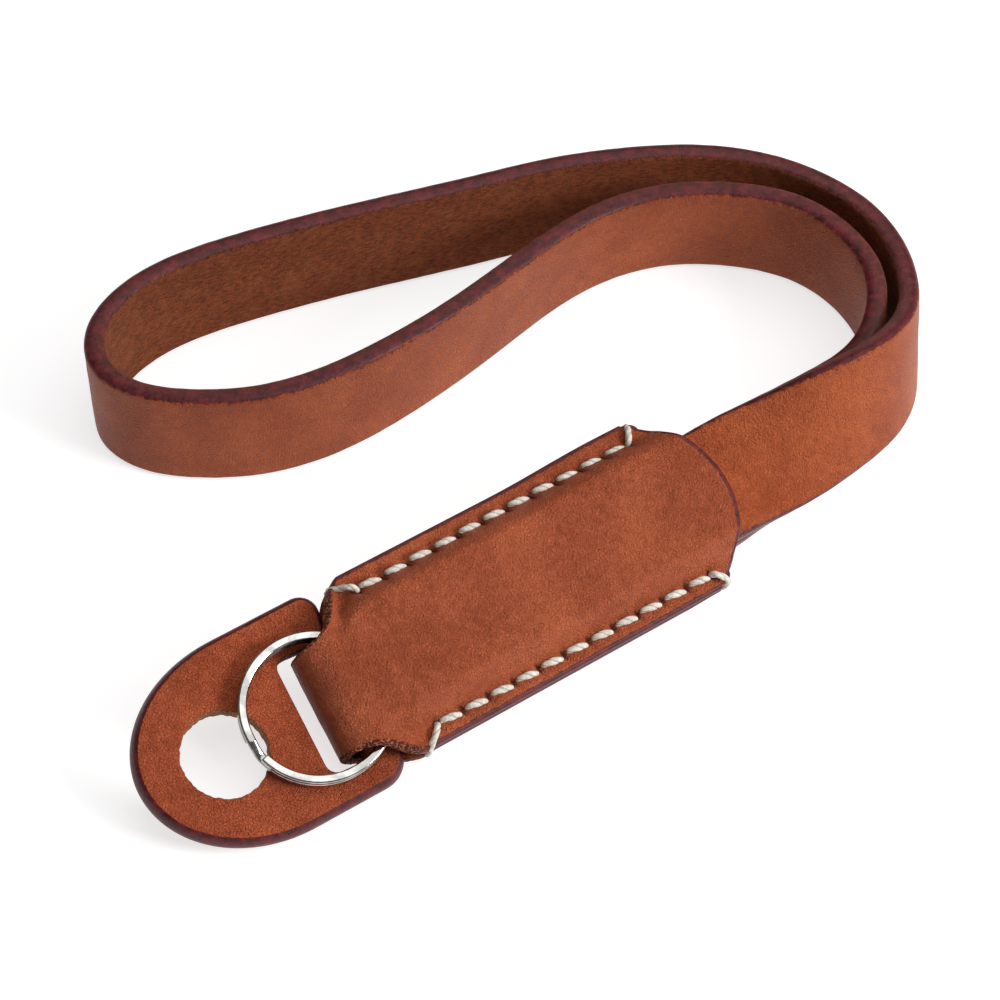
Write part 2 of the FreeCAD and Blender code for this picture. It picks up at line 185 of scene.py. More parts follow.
# ---- materials ------------------------------------------------------------------------------
class Nodes:
    """Small builder for one material's node tree, with coordinates in millimetres."""

    def __init__(self, name):
        self.material = bpy.data.materials.new(name)
        self.material.use_nodes = True
        self.tree = self.material.node_tree
        self.tree.nodes.clear()
        self.out = self.tree.nodes.new("ShaderNodeOutputMaterial")
        self.shader = self.tree.nodes.new("ShaderNodeBsdfPrincipled")
        self.tree.links.new(self.shader.outputs[0], self.out.inputs[0])
        coords = self.tree.nodes.new("ShaderNodeTexCoord")
        scale = self.tree.nodes.new("ShaderNodeMapping")
        scale.inputs["Scale"].default_value = (1000, 1000, 1000)
        self.tree.links.new(coords.outputs["Object"], scale.inputs["Vector"])
        self.mm = scale.outputs[0]

    def link(self, value, socket):
        if isinstance(value, bpy.types.NodeSocket):
            self.tree.links.new(value, socket)
        else:
            socket.default_value = value

    def attribute(self, name):
        node = self.tree.nodes.new("ShaderNodeAttribute")
        node.attribute_name = name
        return node.outputs["Fac"]

    def noise(self, scale, detail=3.0, rough=0.55, vector=None):
        node = self.tree.nodes.new("ShaderNodeTexNoise")
        self.link(vector or self.mm, node.inputs["Vector"])
        node.inputs["Scale"].default_value = scale
        node.inputs["Detail"].default_value = detail
        node.inputs["Roughness"].default_value = rough
        return node.outputs["Fac"]

    def cells(self, scale, feature="F1"):
        node = self.tree.nodes.new("ShaderNodeTexVoronoi")
        node.feature = feature
        self.link(self.mm, node.inputs["Vector"])
        node.inputs["Scale"].default_value = scale
        return node.outputs["Distance"]

    def stretched(self, x, y, z):
        """Coordinates scaled by axis."""
        node = self.tree.nodes.new("ShaderNodeMapping")
        self.link(self.mm, node.inputs["Vector"])
        node.inputs["Scale"].default_value = (x, y, z)
        return node.outputs[0]

    def math(self, operation, a, b):
        node = self.tree.nodes.new("ShaderNodeMath")
        node.operation = operation
        self.link(a, node.inputs[0])
        self.link(b, node.inputs[1])
        return node.outputs[0]

    def remap(self, value, low, high, to_low=0.0, to_high=1.0):
        node = self.tree.nodes.new("ShaderNodeMapRange")
        node.interpolation_type = "SMOOTHSTEP"
        for key, v in (("Value", value), ("From Min", low), ("From Max", high),
                       ("To Min", to_low), ("To Max", to_high)):
            self.link(v, node.inputs[key])
        return node.outputs["Result"]

    def mix(self, factor, a, b):
        """Mix of two colours."""
        node = self.tree.nodes.new("ShaderNodeMix")
        node.data_type = "RGBA"
        self.link(factor, node.inputs[0])
        self.link(a, node.inputs[6])
        self.link(b, node.inputs[7])
        return node.outputs[2]

    def blend(self, factor, a, b):
        """Mix of two numbers."""
        node = self.tree.nodes.new("ShaderNodeMix")
        self.link(factor, node.inputs[0])
        self.link(a, node.inputs[2])
        self.link(b, node.inputs[3])
        return node.outputs[0]

    def bump(self, height, distance_mm, strength=1.0, normal=None):
        node = self.tree.nodes.new("ShaderNodeBump")
        node.inputs["Strength"].default_value = strength
        node.inputs["Distance"].default_value = distance_mm * MM
        self.link(height, node.inputs["Height"])
        if normal is not None:
            self.link(normal, node.inputs["Normal"])
        return node.outputs[0]

    def set(self, **values):
        """Give the shader its inputs, by name, and return the material."""
        for key, value in values.items():
            self.link(value, self.shader.inputs[key.replace("_", " ")])
        return self.material


def rgb(r, g, b):
    return (r, g, b, 1.0)


def leather(name, light, dark, paint_width):
    """Smooth tanned hide: grain, suede flesh side, painted edges, raw cut edges and pressed holes.

    Reads up to five numbers per point. rim is the distance to the edge in mm, raw is 1 along an
    unfinished cut, flesh is 1 on the suede side, pit is 1 where shade is painted near black, inside
    a stitch hole and along the line where two layers meet, and bare is 1 where a cut shows the
    hide's own pale fibre. One that a mesh doesn't carry reads as 0.
    """
    n = Nodes(name)
    rim, raw, flesh, pit, bare = [n.attribute(k) for k in ("rim", "raw", "flesh", "pit", "bare")]
    # grain side
    clouds = n.noise(0.13, 4.0)
    mottle = n.noise(1.1, 4.0, 0.65)
    pores = n.cells(4.6)
    grain_net = n.cells(3.1, feature="DISTANCE_TO_EDGE")
    tone = n.math("ADD", n.math("MULTIPLY", clouds, 0.55), n.math("MULTIPLY", mottle, 0.45))
    grain = n.mix(n.remap(tone, 0.33, 0.68), rgb(*dark), rgb(*light))
    speck = n.remap(n.noise(5.5, 2.0), 0.56, 0.72)
    grain = n.mix(n.math("MULTIPLY", speck, 0.42), grain, rgb(*[c * 0.5 for c in dark]))
    # suede side
    nap = n.noise(1.0, 5.0, 0.7, n.stretched(1.3, 1.3, 4.5))
    clumps = n.noise(0.55, 3.0, 0.6)
    suede = n.mix(n.remap(nap, 0.30, 0.72), rgb(0.070, 0.013, 0.004), rgb(0.32, 0.062, 0.016))
    suede = n.mix(n.remap(clumps, 0.45, 0.75, 0.0, 0.45), suede, rgb(0.32, 0.095, 0.036))
    # edge paint, with a ragged border where it ran on to the faces
    ragged = n.math("MULTIPLY", n.noise(1.7, 4.0, 0.7), paint_width)
    reach = n.math("ADD", ragged, -paint_width * 0.22)
    paint = n.remap(rim, reach, n.math("ADD", reach, 0.12), 1.0, 0.0)
    paint_tone = n.noise(0.9, 4.0, 0.7)
    burgundy = n.mix(n.remap(paint_tone, 0.35, 0.7),
                     rgb(0.042, 0.003, 0.005), rgb(0.125, 0.011, 0.015))
    # raw cut edges keep crumbs of bare fibre between cracks of paint
    crumbs = n.math("MULTIPLY", n.remap(n.noise(3.4, 4.0, 0.8), 0.51, 0.57), raw)
    burgundy = n.mix(crumbs, burgundy, rgb(0.55, 0.19, 0.075))
    fibres = n.mix(n.remap(n.noise(4.0, 3.0, 0.7), 0.35, 0.65),
                   rgb(0.20, 0.06, 0.025), rgb(0.52, 0.24, 0.11))
    burgundy = n.mix(bare, burgundy, fibres)
    # all of them together
    colour = n.mix(flesh, grain, suede)
    colour = n.mix(paint, colour, burgundy)
    # painted shade: near black inside the stitch holes and along the line where the sleeve's two
    # layers meet
    colour = n.mix(n.math("MULTIPLY", pit, 0.85), colour, rgb(0.012, 0.005, 0.004))
    face_rough = n.blend(flesh, n.remap(mottle, 0.3, 0.7, 0.36, 0.50), 0.95)
    paint_rough = n.blend(raw, n.remap(paint_tone, 0.3, 0.7, 0.34, 0.5), 0.75)
    rough = n.blend(paint, face_rough, paint_rough)
    # relief
    fine = n.math("ADD", n.math("MULTIPLY", pores, 0.7),
                  n.math("MULTIPLY", n.noise(6.5, 3.0, 0.6), 0.7))
    fine = n.math("ADD", fine, n.math("MULTIPLY", n.remap(grain_net, 0.0, 0.12), 0.35))
    fuzz = n.math("ADD", n.math("MULTIPLY", nap, 2.6), n.math("MULTIPLY", n.noise(7.0, 2.0), 1.2))
    crust = n.math("MULTIPLY", n.noise(3.1, 4.0, 0.7), n.blend(raw, 0.5, 3.4))
    height = n.blend(paint, n.blend(flesh, fine, fuzz), crust)
    normal = n.bump(height, 0.22)
    normal = n.bump(n.noise(0.45, 3.0), 0.28, 0.5, normal)
    return n.set(Base_Color=colour, Roughness=rough, Normal=normal,
                 Specular_IOR_Level=n.blend(paint, n.blend(flesh, 0.18, 0.05), 0.20),
                 Sheen_Weight=n.math("MULTIPLY", flesh, 0.20), Sheen_Roughness=0.6,
                 Sheen_Tint=rgb(0.75, 0.45, 0.3),
                 Coat_Weight=n.math("MULTIPLY", paint, n.blend(raw, 0.12, 0.0)), Coat_Roughness=0.3)


def waxed_thread():
    n = Nodes("waxed_thread")
    ply = n.attribute("ply")
    fibre = n.noise(1.0, 4.0, 0.65, n.stretched(2.5, 2.5, 2.5))
    dirt = n.noise(0.35, 3.0)
    colour = n.mix(n.remap(fibre, 0.3, 0.7), rgb(0.46, 0.42, 0.36), rgb(0.70, 0.67, 0.61))
    colour = n.mix(n.remap(dirt, 0.52, 0.78, 0.0, 0.5), colour, rgb(0.36, 0.29, 0.22))
    # painted shade in the grooves between the two plies of the twist, where ply is low
    colour = n.mix(n.remap(ply, 0.0, 0.45, 0.75, 0.0), colour, rgb(0.20, 0.15, 0.11))
    return n.set(Base_Color=colour, Roughness=n.remap(fibre, 0.3, 0.7, 0.5, 0.7),
                 Normal=n.bump(n.noise(9.0, 3.0), 0.06), Specular_IOR_Level=0.35,
                 Subsurface_Weight=0.12, Subsurface_Scale=0.0006)


def nickel_plate():
    n = Nodes("nickel_plate")
    scratches = n.noise(1.0, 3.0, 0.6, n.stretched(1.2, 1.2, 14.0))
    cloud = n.noise(0.5, 3.0)
    colour = n.mix(n.remap(cloud, 0.4, 0.6), rgb(0.36, 0.35, 0.33), rgb(0.56, 0.55, 0.53))
    return n.set(Base_Color=colour, Metallic=1.0, Roughness=n.remap(scratches, 0.35, 0.75, 0.08, 0.2),
                 Normal=n.bump(scratches, 0.006, 0.6))


strap_leather = leather("strap_leather", (0.42, 0.096, 0.029), (0.28, 0.051, 0.014), 0.40)
sleeve_leather = leather("sleeve_leather", (0.43, 0.100, 0.039), (0.27, 0.054, 0.019), 0.60)
pad_leather = leather("pad_leather", (0.43, 0.090, 0.033), (0.26, 0.047, 0.016), 0.34)
thread_material = waxed_thread()
nickel = nickel_plate()


# ---- strap ----------------------------------------------------------------------------------
def natural_spline(knots, values, at):
    """Natural cubic spline through the values: its values and slopes at the places asked for."""
    count = len(knots)
    h = np.diff(knots)
    system = np.eye(count)
    rhs = np.zeros(count)
    for i in range(1, count - 1):
        system[i, i - 1:i + 2] = h[i - 1], 2 * (h[i - 1] + h[i]), h[i]
        rhs[i] = 6 * ((values[i + 1] - values[i]) / h[i] - (values[i] - values[i - 1]) / h[i - 1])
    bend = np.linalg.solve(system, rhs)
    i = np.clip(np.searchsorted(knots, at, side="left") - 1, 0, count - 2)
    a = (knots[i + 1] - at) / h[i]
    b = 1 - a
    value = a * values[i] + b * values[i + 1]
    value += ((a ** 3 - a) * bend[i] + (b ** 3 - b) * bend[i + 1]) * h[i] ** 2 / 6
    slope = (values[i + 1] - values[i]) / h[i]
    slope += ((3 * b * b - 1) * bend[i + 1] - (3 * a * a - 1) * bend[i]) * h[i] / 6
    return value, slope


def resting_height(angle):
    """Height of the strap's middle when it is turned by an angle and touches the table."""
    return strap_width / 2 * np.abs(np.sin(angle)) + strap_thick / 2 * np.abs(np.cos(angle))


def strap_path(step):
    """Centres, width directions and face normals of the strap."""
    half = (strap_thick + layer_gap) / 2
    rows = []
    for u in straight_u:
        p = lie((u, 0, half))
        rows.append((p[0], p[1], sleeve_roll, p[2] - resting_height(roll)))
    rows += route
    for u in reversed(straight_u):
        p = lie((u, 0, -half))
        rows.append((p[0], p[1], 180 - sleeve_roll, p[2] - resting_height(roll)))
    rows = np.array(rows, float)
    knots = np.r_[0, np.cumsum(np.hypot(*np.diff(rows[:, :2], axis=0).T))]
    at = np.linspace(0, knots[-1], int(knots[-1] / step))
    (x, dx), (y, dy), (turn, _), (lift, _) = [natural_spline(knots, rows[:, k], at) for k in range(4)]
    angle = np.radians(turn)
    flat = np.hypot(dx, dy)
    zero = np.zeros_like(x)
    outward = np.stack([dy / flat, -dx / flat, zero], 1)
    up = np.array([0.0, 0.0, 1.0])
    normal = outward * np.sin(angle)[:, None] + up * np.cos(angle)[:, None]
    across = -outward * np.cos(angle)[:, None] + up * np.sin(angle)[:, None]
    centre = np.stack([x, y, resting_height(angle) + lift], 1)
    return centre, across, normal


def band_section(half_width, half_thick, round_width, face_steps, edge_steps):
    """Closed section of a leather band: across, through, distance to the edge, flesh side."""
    rows = []
    inner = half_width - round_width
    for side in (1, -1):
        for k in range(face_steps + 1):
            x = side * inner * (1 - 2 * k / face_steps)
            rim = inner - abs(x) + band_rim
            rows.append((x, side * half_thick, rim, 0.0 if side > 0 else 1.0))
        for k in range(1, edge_steps):
            a = math.pi * k / edge_steps
            x = -side * (inner + round_width * math.sin(a) ** 0.8)
            y = side * half_thick * math.copysign(abs(math.cos(a)) ** 0.7, math.cos(a))
            rim = band_rim * abs(math.cos(a)) ** 3
            rows.append((x, y, rim, 0.0 if y > 0 else 1.0))
    return np.array(rows)


def loop_strap():
    centre, across, normal = strap_path(step=0.5)
    section = band_section(strap_width / 2, strap_thick / 2, band_round, face_steps=22, edge_steps=10)
    rows, cols = len(centre), len(section)
    x, y = section[:, 0], section[:, 1]
    points = (centre[:, None, :] + across[:, None, :] * x[None, :, None]
              + normal[:, None, :] * y[None, :, None]).reshape(-1, 3)
    rim = np.tile(section[:, 2], rows)
    flesh = np.tile(section[:, 3], rows)
    out = np.repeat(normal, cols, axis=0) * np.sign(np.tile(y, rows))[:, None]
    dent = wobble(points, 0.22, 1) * 0.05 + wobble(points, 0.9, 2) * 0.02
    nap = wobble(points, 2.6, 3) * 0.035 * flesh
    inside = rim > band_rim - 0.01
    # the whole skin lies a little inside the CAD's, so that its dents and nap stay within it
    points = points + out * ((dent + nap) * inside - 0.03)[:, None]
    bead = wobble(points, 0.7, 4) * 0.035
    edgeward = np.repeat(across, cols, axis=0) * np.sign(np.tile(x, rows))[:, None]
    points = points + edgeward * (bead * ~inside)[:, None]
    zero = np.zeros(len(points))
    obj = build("strap_band", points, loft_faces(rows, cols),
                {"rim": rim, "flesh": flesh, "raw": zero, "pit": zero}, strap_leather)
    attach(obj, "strap_and_sleeve")
    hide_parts("loop_strap")


# ---- sleeve ---------------------------------------------------------------------------------
def lip_u(v):
    """How far the mouth's lip reaches at a place across the sleeve."""
    start = sleeve_length + lip_start
    rise = sleeve_length + mouth_bulge - start
    radius = (mouth_lip_half ** 2 + rise ** 2) / (2 * rise)
    round_part = start + rise - radius + np.sqrt(np.maximum(radius ** 2 - v ** 2, 0))
    t = np.clip((np.abs(v) - mouth_lip_half) / (sleeve_half_width - mouth_lip_half), 0, 1)
    corner = start - lip_corner_drop * (1 - np.sqrt(1 - t ** 2))
    return np.where(np.abs(v) < mouth_lip_half, round_part, corner)


def half_width_at(u, side):
    """Half of the sleeve's width on one side: straight seam, then a hollow flare down to the neck."""
    if side > 0:
        straight = body_half_far + mouth_gain * smoothstep(20, 34, u)
    else:
        straight = np.full(np.shape(u), body_half_near)
    places = np.array(flare_far if side > 0 else flare_near)
    flare = np.interp(u, places[:, 0], places[:, 1])
    return np.where(np.asarray(u) >= 0, straight, flare)


def lens_height(v):
    """Height of the outer face over the straps, falling to the seams."""
    h = hide_thick + (belly_half - hide_thick) * (1 - smoothstep(shoulder_v, foot_v, np.abs(v)))
    h = h + crown * np.cos(np.clip(v / 5.2, -1, 1) * math.pi / 2)
    return h - groove * np.exp(-((np.abs(v) - seam_v) / 0.5) ** 2)


def softened(profile, reach):
    """Average a profile over its neighbours, keeping its ends."""
    kernel = np.hanning(2 * reach + 3)[1:-1]
    padded = np.pad(profile, reach, mode="edge")
    return np.convolve(padded, kernel / kernel.sum(), mode="valid")


def sleeve_outer(cols, step):
    """Grid of points on the outer face, from the upper lip round the fold to the lower lip.

    With it come how raw each point's nearest edge is, and the distance to that edge.
    """
    s = np.linspace(-1, 1, cols)
    flat_v = s * sleeve_half_width
    body = int(round((sleeve_length + mouth_bulge) / step))
    neck = int(round(-fold_centre_u / step))
    bend = int(round(math.pi * neck_half_height / step / 2))
    places = np.r_[np.linspace(sleeve_length, 0, body, endpoint=False),
                   np.linspace(0, fold_centre_u, neck, endpoint=False),
                   fold_centre_u - neck_half_height * np.sin(np.linspace(0, math.pi / 2, bend + 1))]
    edge = {side: softened(half_width_at(places, side), int(0.6 / step)) for side in (1, -1)}
    rows = []
    for i, u0 in enumerate(places):
        v = np.where(s > 0, s * edge[1][i], s * edge[-1][i])
        if i < body:
            f = 1 - i / body
            lip = lip_u(flat_v)
            rows.append((f * lip, v, lens_height(flat_v), np.zeros(cols), (1 - f) * lip))
        else:
            k = smoothstep(0, 1, u0 / fold_centre_u)
            turn = math.asin(min(1.0, max(0.0, (fold_centre_u - u0) / neck_half_height)))
            h = lens_height(flat_v) * (1 - k) + neck_half_height * math.cos(turn) * k
            raw = float(smoothstep(0.6, 2.4, -u0))
            rows.append((np.full(cols, u0), v, h, np.full(cols, raw), np.full(cols, no_edge_near)))
    lower = [(u, v, -h, raw, d) for u, v, h, raw, d in reversed(rows[:-1])]
    grid = np.array(rows + lower)                      # row, value, column
    u, v, w, raw, lip = [grid[:, k, :] for k in range(5)]
    skew = math.tan(math.radians(fold_skew_deg)) * smoothstep(0, -fold_centre_u, -u)
    u = u + (v - neck_shift_v) * skew
    # the lower layer tucks up against the upper one at the near corner of the mouth
    thinned = 1 - 0.85 * smoothstep(32.5, 37, u) * smoothstep(7.5, 9.5, -v)
    w = np.where(w < 0, w * thinned, w)
    points = np.stack([u, v, w], 2)
    side_rim = (1 - np.abs(s))[None, :] * np.maximum(np.abs(v).max(axis=1), 1)[:, None]
    return points, raw, np.minimum(side_rim, lip)


def surface_normals(grid):
    """Unit normals of a grid of points."""
    du = np.gradient(grid, axis=0)
    dv = np.gradient(grid, axis=1)
    normal = np.cross(dv, du)
    return normal / np.linalg.norm(normal, axis=2)[:, :, None]


def hole_places():
    """Places of the stitch holes along a seam."""
    return [first_hole_u + i * stitch_pitch for i in range(stitch_holes)]


def seam_at(u, side):
    """The far seam was pricked a little closer to the middle at the neck end."""
    return seam_v - (seam_drift * (1 - smoothstep(2.0, 24.0, u)) if side > 0 else 0.0)


def seam_height(u, side):
    """Height of the outer face where the seam runs."""
    return float(lens_height(np.array(seam_at(u, side))))


def press_stitches(points, normal, is_body):
    """Slits of the pricking iron, steeper than the row, and the dents that the thread presses."""
    pit = np.zeros(points.shape[:2])
    dent = np.zeros(points.shape[:2])
    slit = math.radians(slit_deg)
    for side in (1, -1):
        for u in hole_places():
            du, dv = points[:, :, 0] - u, points[:, :, 1] - side * seam_at(u, side)
            along = du * -math.cos(slit) + dv * math.sin(slit)
            over = du * math.sin(slit) + dv * math.cos(slit)
            cut = np.exp(-(along / slit_half_length) ** 2 - (over / slit_half_width) ** 2)
            pit = np.maximum(pit, cut * is_body)
            dent = np.maximum(dent, np.exp(-(du ** 2 + dv ** 2) / 0.8 ** 2) * is_body)
    sunk = points - normal * (pit * slit_depth + dent * thread_dent)[:, :, None]
    # the slits' mask comes back as well, to paint shade in them
    return sunk, smoothstep(0.3, 0.8, pit)


def sleeve_layers(cols, step):
    """Outer and inner face of the sleeve as grids, with their rim, raw and pit values."""
    outer, raw, rim = sleeve_outer(cols, step)
    normal = surface_normals(outer)
    if normal[3, cols // 2, 2] < 0:
        normal = -normal
    body = (outer[:, :, 0] > 0.3) * 1.0
    # slow swells all over, and creases round the neck
    flat = outer.reshape(-1, 3)
    swell = (wobble(flat, 0.16, 11) * 0.07 + wobble(flat, 0.6, 12) * 0.03).reshape(body.shape)
    crease = wobble(flat * np.array([1.0, 0.25, 1.0]), 1.3, 13).reshape(body.shape) * 0.05
    crease = crease * (1 - body)
    inside = smoothstep(0.2, 1.6, rim)
    outer = outer + normal * ((swell + crease) * inside)[:, :, None]
    # along the seams the two layers meet, and their edges are cut square
    inner = outer - normal * hide_thick
    upper = outer[:, :, 2] >= 0
    across = np.abs(outer[:, :, 1])
    met = np.where(upper, np.maximum(inner[:, :, 2], meeting_gap),
                   np.minimum(inner[:, :, 2], -meeting_gap))
    inner[:, :, 2] = np.where(body * (across > meeting_v) > 0, met, inner[:, :, 2])
    square = (body * smoothstep(meeting_v, square_v, across))[:, :, None]
    inner[:, :, :2] = inner[:, :, :2] * (1 - square) + outer[:, :, :2] * square
    outer, pit = press_stitches(outer, normal, body)
    return outer, inner, rim, raw, pit


def lip_rows(outer, inner, angles):
    """Pairs of rows that thin from the end of both faces to the mouth's rounded edge."""
    middle = (outer + inner) / 2
    pairs = []
    for a in angles:
        push = np.array([lip_push * math.sin(a), 0.0, 0.0])
        pairs.append((middle + (outer - middle) * math.cos(a) + push,
                      middle + (inner - middle) * math.cos(a) + push))
    return pairs


def cut_edge(a, b, side, rawness, steps):
    """Points over the cut edge between two faces: rounded, and rougher where it is raw."""
    wall = []
    for q in range(1, steps):
        t = q / steps
        p = a * (1 - t) + b * t
        bulge = edge_bulge * (1 - (2 * t - 1) ** 2) ** 0.7 * (1 - 0.2 * rawness)
        rough = noise.noise(Vector(p) * 2.4) * 0.14 * rawness
        wall.append(p + np.array([0, side * (bulge + rough), 0]))
    return wall


def sleeve_cover():
    step, cols, edge_steps = 0.22, 134, 8
    outer, inner, rim, raw, pit = sleeve_layers(cols, step)
    turns = [math.radians(a) for a in (82, 60, 35, 12)]
    first = lip_rows(outer[0], inner[0], turns)
    last = lip_rows(outer[-1], inner[-1], turns[::-1])
    out = [o for o, _ in first] + list(outer) + [o for o, _ in last]
    inn = [i for _, i in first] + list(inner) + [i for _, i in last]
    blank = np.zeros((len(turns), cols))
    rim, raw, pit = [np.concatenate([blank, grid, blank]) for grid in (rim, raw, pit)]
    # each row is a closed loop: outer face, far edge, inner face, near edge
    wall = edge_steps - 1
    depth = np.arange(1, edge_steps) / edge_steps
    dark = layers_line_shade * (depth > 0.8)              # painted shade along the line where the two layers meet
    loops, rims, raws, pits = [], [], [], []
    for o, i, r, w, p in zip(out, inn, rim, raw, pit):
        far = cut_edge(o[-1], i[-1], 1, w[-1], edge_steps)
        near = cut_edge(i[0], o[0], -1, w[0], edge_steps)
        loops.append(list(o) + far + list(i[::-1]) + near)
        rims.append(np.r_[r, np.zeros(wall), np.full(cols, face_rim), np.zeros(wall)])
        raws.append(np.r_[w, np.full(wall, w[-1]), np.zeros(cols), np.full(wall, w[0])])
        pits.append(np.r_[p, dark * (1 - w[-1]), np.zeros(cols), dark[::-1] * (1 - w[0])])
    rows, per_row = len(loops), len(loops[0])
    flesh = np.tile(np.r_[np.zeros(cols + wall), np.ones(cols), np.zeros(wall)], rows)
    faces = loft_faces(rows, per_row, caps=False)
    # close the cut of each lip, between its outer and its inner row
    for base, flip in ((0, True), ((rows - 1) * per_row, False)):
        inner_start = base + cols + wall
        rungs = [(base + j, inner_start + cols - 1 - j) for j in range(cols)]
        for (a, b), (c, d) in zip(rungs, rungs[1:]):
            faces.append((a, b, d, c) if flip else (a, c, d, b))
        lead = [base + cols - 1 + q for q in range(edge_steps + 1)]
        faces.append(tuple(lead) if flip else tuple(reversed(lead)))
        tail = [inner_start + cols - 1 + q for q in range(edge_steps)] + [base]
        faces.append(tuple(tail) if flip else tuple(reversed(tail)))
    placed = lie(np.array(loops).reshape(-1, 3))
    placed[:, 2] = np.maximum(placed[:, 2], table_gap)
    obj = build("sleeve_leather_cover", placed, faces,
                {"rim": np.ravel(rims), "raw": np.ravel(raws), "flesh": flesh,
                 "pit": np.ravel(pits)}, sleeve_leather)
    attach(obj, "strap_and_sleeve")
    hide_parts("sleeve_cover")


# ---- stitching ------------------------------------------------------------------------------
def strand(path, radius, store, twist_mm=1.25, sides=14):
    """A two-ply twisted thread along a path in mm, added to the store's points and faces."""
    path = np.array(path)
    tangent = np.gradient(path, axis=0)
    tangent /= np.linalg.norm(tangent, axis=1)[:, None]
    side = np.cross(tangent, [0.31, 0.17, 0.93])
    side /= np.linalg.norm(side, axis=1)[:, None]
    other = np.cross(tangent, side)
    gone = np.r_[0, np.cumsum(np.linalg.norm(np.diff(path, axis=0), axis=1))]
    first = len(store["points"])
    for k in range(len(path)):
        for j in range(sides):
            a = 2 * math.pi * j / sides
            lobe = abs(math.cos(a - 2 * math.pi * gone[k] / twist_mm / 2))
            r = radius[k] * (0.74 + 0.26 * math.sqrt(lobe))
            store["points"].append(path[k] + (side[k] * math.cos(a) + other[k] * math.sin(a)) * r)
            store["ply"].append(lobe)
    store["faces"] += loft_faces(len(path), sides, first)


def stitch_path(p, q, lift, dive, steps=24):
    """From one hole to the next: up out of the leather, over it and down again."""
    t = np.linspace(0, 1, steps)
    bow = np.sin(math.pi * t) ** 0.45
    middle = np.array(p)[None, :] * (1 - t)[:, None] + np.array(q)[None, :] * t[:, None]
    middle[:, 2] += np.sign(middle[:, 2]) * (bow * (lift + dive) - dive)
    radius = thread_radius * (0.52 + 0.48 * np.sin(math.pi * t) ** 0.6)
    return middle, radius


def stitch_row(side, name, node):
    """One seam: a stitch on each face between the holes, and a wrap over the edge at each end."""
    store = {"points": [], "faces": [], "ply": []}
    holes = hole_places()
    for face in (1, -1):
        for a, b in zip(holes, holes[1:]):
            jitter = random.uniform(-0.05, 0.05)
            p = (a + hole_inset, side * seam_at(a, side) + stitch_slant + jitter,
                 face * seam_height(a, side))
            q = (b - hole_inset, side * seam_at(b, side) - stitch_slant + jitter,
                 face * seam_height(b, side))
            strand(*stitch_path(p, q, stitch_lift, stitch_dive), store)
    # each wrap runs from the hole over the edge, and back to it along the lower face
    for u, run, rise in end_wraps[side]:
        row, surface = float(seam_at(u, side)), seam_height(u, side)
        corners = [(u, side * (row - 0.1), surface - 0.35),
                   (u + 0.22 * run, side * (row + 0.22 * rise), surface + 0.24),
                   (u + 0.70 * run, side * (row + 0.70 * rise), hide_thick + 0.34),
                   (u + run, side * (row + rise), hide_thick * 0.6),
                   (u + run, side * (row + rise + 0.06), 0.0)]
        loop = corners + [(x, y, -z) for x, y, z in reversed(corners[:-1])]
        loop = np.array(loop)
        knots = np.r_[0, np.cumsum(np.linalg.norm(np.diff(loop, axis=0), axis=1))]
        at = np.linspace(0, knots[-1], 44)
        path = np.stack([natural_spline(knots, loop[:, k], at)[0] for k in range(3)], 1)
        strand(path, np.full(len(path), thread_radius * 0.9), store)
    obj = build(name, lie(np.array(store["points"])), store["faces"], {"ply": store["ply"]},
                thread_material)
    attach(obj, "strap_and_sleeve")
    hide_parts(node)


# ---- ring -----------------------------------------------------------------------------------
def split_ring():
    """Flat wire wound twice, stepping from one level to the other between its two ends."""
    tip = math.radians(coil_end_gap_deg)
    end_angle = math.radians(coil_end_deg)
    level = (coil_height + coil_gap) / 2
    steps = 420
    half_w, half_h, r = ring_wire_width / 2, coil_height / 2, 0.24
    section = []
    for sx, sy, start in ((1, 1, 0), (-1, 1, 90), (-1, -1, 180), (1, -1, 270)):
        for k in range(5):
            a = math.radians(start + 22.5 * k)
            section.append((sx * (half_w - r) + r * math.cos(a), sy * (half_h - r) + r * math.sin(a)))
    points = []
    for i in range(steps + 1):
        phi = tip + (4 * math.pi - 2 * tip) * i / steps
        height = level * (1 - 2 * float(smoothstep(2 * math.pi - tip, 2 * math.pi + tip, phi)))
        a = end_angle + phi
        for x, y in section:
            radius = ring_outer_r - half_w + x
            points.append((radius * math.cos(a), radius * math.sin(a), height + y))
    points = np.array(points)
    lean = math.radians(ring_tilt_deg)
    x, y, z = points.T
    placed = np.stack([x * math.cos(lean) - z * math.sin(lean) + ring_centre_u,
                       y + neck_shift_v,
                       x * math.sin(lean) + z * math.cos(lean) + ring_centre_w], 1)
    obj = build("split_ring_coils", lie(placed), loft_faces(steps + 1, len(section)), {}, nickel)
    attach(obj, "ring")
    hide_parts("split_ring")


# ---- pad ------------------------------------------------------------------------------------
def arc(cx, cy, r, start, end, count):
    """Points along an arc, between two angles in degrees."""
    a = np.radians(np.linspace(start, end, count))
    return [(cx + r * math.cos(t), cy + r * math.sin(t)) for t in a]


def resample(loop, step):
    """The same closed loop in steps of an even length."""
    loop = np.array(loop + loop[:1])
    gone = np.r_[0, np.cumsum(np.linalg.norm(np.diff(loop, axis=0), axis=1))]
    at = np.linspace(0, gone[-1], int(gone[-1] / step), endpoint=False)
    return np.stack([np.interp(at, gone, loop[:, k]) for k in range(2)], 1)


